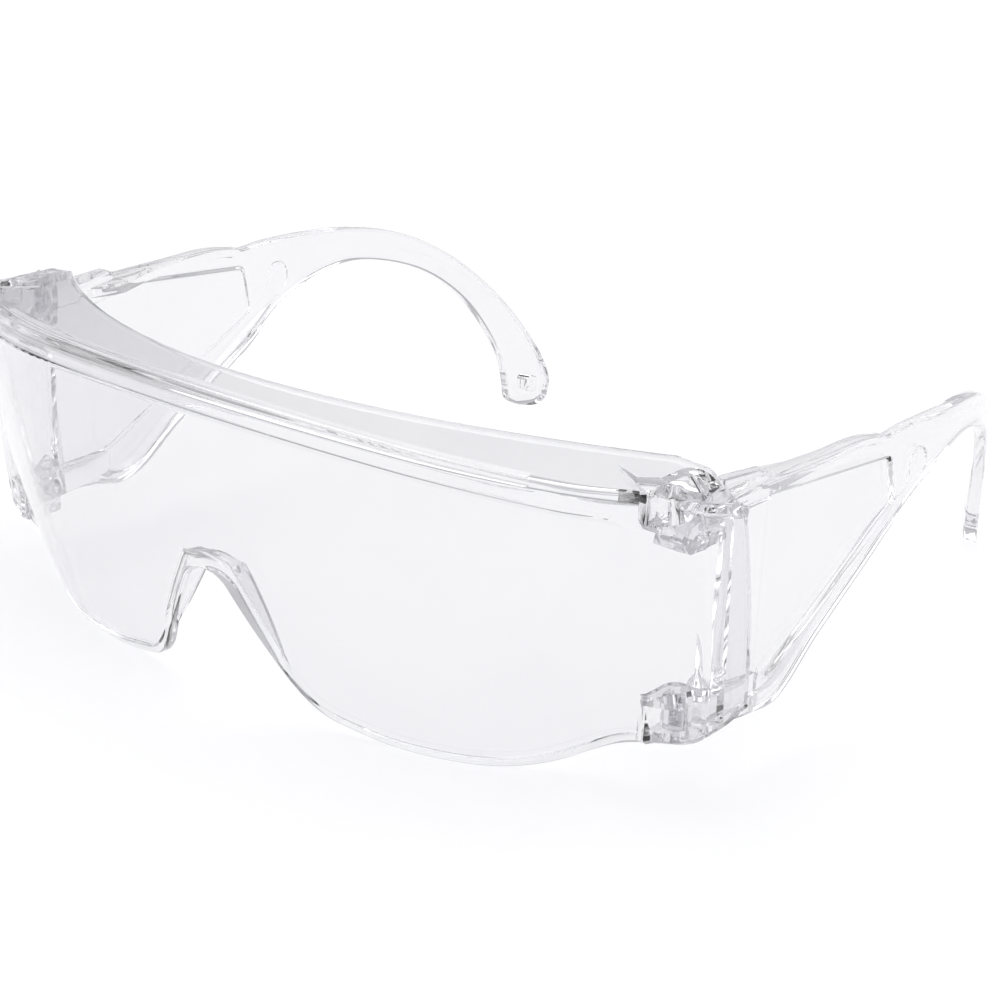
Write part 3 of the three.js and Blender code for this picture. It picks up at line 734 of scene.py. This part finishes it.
def mouldRipple():
    # Slow waviness of a moulded face, and the fainter fine grain on top of it
    group, given, out = newGroup(
        "mouldRipple",
        [("Vector", "NodeSocketVector", None), ("Wave Size", "NodeSocketFloat", 60),
         ("Grain Size", "NodeSocketFloat", 900), ("Grain Share", "NodeSocketFloat", 0.05)],
        [("Height", "NodeSocketFloat")])
    wave = addNode(group, "ShaderNodeTexNoise", Detail=2, Roughness=0.4)
    grain = addNode(group, "ShaderNodeTexNoise", Detail=3, Roughness=0.6)
    scaled = addNode(group, "ShaderNodeMath", operation="MULTIPLY")
    total = addNode(group, "ShaderNodeMath", operation="ADD")
    link = group.links.new
    link(given.outputs["Vector"], wave.inputs["Vector"])
    link(given.outputs["Vector"], grain.inputs["Vector"])
    link(given.outputs["Wave Size"], wave.inputs["Scale"])
    link(given.outputs["Grain Size"], grain.inputs["Scale"])
    link(grain.outputs["Fac"], scaled.inputs[0])
    link(given.outputs["Grain Share"], scaled.inputs[1])
    link(wave.outputs["Fac"], total.inputs[0])
    link(scaled.outputs[0], total.inputs[1])
    link(total.outputs[0], out.inputs["Height"])
    return group


def handlingHaze():
    # Patches of faint haze with sparse fine specks, as a roughness and a slight greying
    group, given, out = newGroup(
        "handlingHaze",
        [("Vector", "NodeSocketVector", None), ("Patch Size", "NodeSocketFloat", 45),
         ("Speck Size", "NodeSocketFloat", 700), ("Clean", "NodeSocketFloat", 0.01),
         ("Hazy", "NodeSocketFloat", 0.06), ("Clear Tint", "NodeSocketColor", (1, 1, 1, 1)),
         ("Haze Tint", "NodeSocketColor", (0.9, 0.9, 0.92, 1))],
        [("Roughness", "NodeSocketFloat"), ("Color", "NodeSocketColor")])
    patch = addNode(group, "ShaderNodeTexNoise", Detail=4, Roughness=0.55)
    speck = addNode(group, "ShaderNodeTexVoronoi", feature="F1")
    patchMask = addNode(group, "ShaderNodeMapRange", From_Min=0.45, From_Max=0.75)
    speckMask = addNode(group, "ShaderNodeMapRange", From_Min=0.1, From_Max=0.04)
    both = addNode(group, "ShaderNodeMath", operation="MAXIMUM")
    rough = addNode(group, "ShaderNodeMapRange")
    tint = addNode(group, "ShaderNodeMix", data_type="RGBA")
    link = group.links.new
    link(given.outputs["Vector"], patch.inputs["Vector"])
    link(given.outputs["Vector"], speck.inputs["Vector"])
    link(given.outputs["Patch Size"], patch.inputs["Scale"])
    link(given.outputs["Speck Size"], speck.inputs["Scale"])
    link(patch.outputs["Fac"], patchMask.inputs["Value"])
    link(speck.outputs["Distance"], speckMask.inputs["Value"])
    link(patchMask.outputs[0], both.inputs[0])
    link(speckMask.outputs[0], both.inputs[1])
    link(both.outputs[0], rough.inputs["Value"])
    link(given.outputs["Clean"], rough.inputs["To Min"])
    link(given.outputs["Hazy"], rough.inputs["To Max"])
    link(both.outputs[0], tint.inputs["Factor"])
    link(given.outputs["Clear Tint"], tint.inputs[6])
    link(given.outputs["Haze Tint"], tint.inputs[7])
    link(rough.outputs[0], out.inputs["Roughness"])
    link(tint.outputs[2], out.inputs["Color"])
    return group


ripple, haze = mouldRipple(), handlingHaze()


def clearPlastic(name, look):
    # Clear polycarbonate: light bends and reflects; lamps shine through to what is behind
    material = bpy.data.materials.new(name)
    material.use_nodes = True
    tree = material.node_tree
    tree.nodes.clear()
    link = tree.links.new
    place = addNode(tree, "ShaderNodeTexCoord")
    rippled = addNode(tree, "ShaderNodeGroup", node_tree=ripple)
    rippled.inputs["Wave Size"].default_value = look["waveSize"]
    rippled.inputs["Grain Size"].default_value = look["grainSize"]
    rippled.inputs["Grain Share"].default_value = look["grainShare"]
    hazed = addNode(tree, "ShaderNodeGroup", node_tree=haze)
    hazed.inputs["Patch Size"].default_value = look["patchSize"]
    hazed.inputs["Clean"].default_value = look["clean"]
    hazed.inputs["Hazy"].default_value = look["hazy"]
    hazed.inputs["Clear Tint"].default_value = look["clearTint"]
    hazed.inputs["Haze Tint"].default_value = look["hazeTint"]
    bump = addNode(tree, "ShaderNodeBump", Strength=look["bumpStrength"], Distance=look["bumpDistance"])
    plastic = addNode(tree, "ShaderNodeBsdfPrincipled")
    plastic.inputs["IOR"].default_value = look["ior"]
    plastic.inputs["Transmission Weight"].default_value = 1.0
    plastic.inputs["Metallic"].default_value = 0.0
    passing = addNode(tree, "ShaderNodeBsdfTransparent")
    passing.inputs["Color"].default_value = look["shadowTint"]
    path = addNode(tree, "ShaderNodeLightPath")
    mix = addNode(tree, "ShaderNodeMixShader")
    out = addNode(tree, "ShaderNodeOutputMaterial")
    link(place.outputs["Object"], rippled.inputs["Vector"])
    link(place.outputs["Object"], hazed.inputs["Vector"])
    link(rippled.outputs["Height"], bump.inputs["Height"])
    link(hazed.outputs["Color"], plastic.inputs["Base Color"])
    link(hazed.outputs["Roughness"], plastic.inputs["Roughness"])
    link(bump.outputs["Normal"], plastic.inputs["Normal"])
    link(path.outputs["Is Shadow Ray"], mix.inputs[0])
    link(plastic.outputs[0], mix.inputs[1])
    link(passing.outputs[0], mix.inputs[2])
    link(mix.outputs[0], out.inputs["Surface"])
    return material


lensLook = {
    "waveSize": 40, "grainSize": 900, "grainShare": 0.02, "patchSize": 45,
    "clean": 0.008, "hazy": 0.035,
    "clearTint": (0.87, 0.868, 0.88, 1), "hazeTint": (0.85, 0.85, 0.865, 1),
    "bumpStrength": 0.15, "bumpDistance": 0.0002, "ior": 1.585, "shadowTint": (0.93, 0.93, 0.94, 1),
}
templeLook = dict(lensLook, waveSize=70, grainShare=0.03, bumpStrength=0.25, hazy=0.06)
pinLook = dict(lensLook, waveSize=200, clearTint=(0.93, 0.93, 0.945, 1), bumpStrength=0.2)
front.data.materials.append(clearPlastic("lensPolycarbonate", lensLook))
templePlastic = clearPlastic("templePolycarbonate", templeLook)
for side in ("left", "right"):
    bpy.data.objects[side + "Temple"].data.materials.append(templePlastic)
pinPlastic = clearPlastic("pinPolycarbonate", pinLook)
for pin in pins:
    pin.data.materials.append(pinPlastic)


studio = {
    "floorSize": 6.0, "floorTint": (0.93, 0.93, 0.93, 1),
    "overhead": (2.2, 2.0, 1.7), "overheadPower": 20,  # panel's two sides and height, in metres
    "worldLow": (0.5, 0.5, 0.52, 1), "worldHigh": (0.75, 0.75, 0.77, 1), "worldStrength": 1.0,
}


def buildFloor():
    # A flat pale sheet on a coarse grid, level with what the glasses stand on
    count = 9
    marks = np.linspace(-studio["floorSize"], studio["floorSize"], count)
    x, y = np.meshgrid(marks, marks, indexing="ij")
    height = np.full_like(x, -datum[2] - 0.02)
    base = np.stack([x * 1000, y * 1000, height], -1).reshape(-1, 3) - [0, datum[1], 0]
    i, j = np.meshgrid(np.arange(count - 1), np.arange(count - 1), indexing="ij")
    here, after = i * count + j, (i + 1) * count + j
    quads = np.stack([here, after, after + 1, here + 1], -1).reshape(-1, 4)
    floor = makePiece("studioFloor", base, quads.tolist())
    paper = bpy.data.materials.new("palePaper")
    paper.use_nodes = True
    tree = paper.node_tree
    shader = tree.nodes["Principled BSDF"]
    place = addNode(tree, "ShaderNodeTexCoord")
    fibre = addNode(tree, "ShaderNodeTexNoise", Scale=300, Detail=3)
    tint = addNode(tree, "ShaderNodeMix", data_type="RGBA")
    tint.inputs[6].default_value = studio["floorTint"]
    tint.inputs[7].default_value = tuple(min(c * 1.01, 1) for c in studio["floorTint"])
    tree.links.new(place.outputs["Object"], fibre.inputs["Vector"])
    tree.links.new(fibre.outputs["Fac"], tint.inputs["Factor"])
    tree.links.new(tint.outputs[2], shader.inputs["Base Color"])
    shader.inputs["Roughness"].default_value = 1.0
    shader.inputs["Specular IOR Level"].default_value = 0.0
    floor.data.materials.append(paper)


def buildLight():
    # Even sky that darkens overhead, with one broad soft panel above
    world = bpy.data.worlds.new("studioSky")
    bpy.context.scene.world = world
    world.use_nodes = True
    tree = world.node_tree
    background = tree.nodes["Background"]
    place = addNode(tree, "ShaderNodeTexCoord")
    split = addNode(tree, "ShaderNodeSeparateXYZ")
    ramp = addNode(tree, "ShaderNodeValToRGB")
    ramp.color_ramp.elements[0].position = 0.1
    ramp.color_ramp.elements[0].color = studio["worldLow"]
    ramp.color_ramp.elements[1].position = 0.85
    ramp.color_ramp.elements[1].color = studio["worldHigh"]
    tree.links.new(place.outputs["Generated"], split.inputs[0])
    tree.links.new(split.outputs["Z"], ramp.inputs["Fac"])
    tree.links.new(ramp.outputs["Color"], background.inputs["Color"])
    background.inputs["Strength"].default_value = studio["worldStrength"]
    panel = bpy.data.lights.new("softPanel", "AREA")
    panel.shape = "RECTANGLE"
    panel.size, panel.size_y = studio["overhead"][0], studio["overhead"][1]
    panel.energy = studio["overheadPower"]
    lamp = bpy.data.objects.new("softPanel", panel)
    lamp.location = (-0.25, 0.1, studio["overhead"][2])
    lamp.rotation_euler = (0, -0.2, 0)
    bpy.context.scene.collection.objects.link(lamp)


camera = {
    "place": (0.329, -0.45198, 0.23309), "lens": 119.5,
    "azimuth": 36.047, "elevation": 21.147, "roll": 3.27,
}


def buildCamera():
    data = bpy.data.cameras.new("studioCamera")
    data.lens = camera["lens"]
    data.sensor_width = 36
    data.clip_start, data.clip_end = 0.02, 50
    eye = bpy.data.objects.new("studioCamera", data)
    bpy.context.scene.collection.objects.link(eye)
    a, e, r = (np.radians(camera[k]) for k in ("azimuth", "elevation", "roll"))
    back = Vector((np.sin(a) * np.cos(e), -np.cos(a) * np.cos(e), np.sin(e)))
    level = Vector((np.cos(a), np.sin(a), 0))
    up = back.cross(level)
    right = level * np.cos(r) + up * np.sin(r)
    turned = back.cross(right)
    facing = Matrix((right, turned, back)).transposed().to_4x4()
    eye.matrix_world = Matrix.Translation(camera["place"]) @ facing
    bpy.context.scene.camera = eye


print("studio")
buildFloor()
buildLight()
buildCamera()
scene = bpy.context.scene
scene.view_settings.view_transform = "Standard"
scene.cycles.max_bounces = 24
scene.cycles.glossy_bounces = 24
scene.cycles.transmission_bounces = 24
scene.cycles.transparent_max_bounces = 24
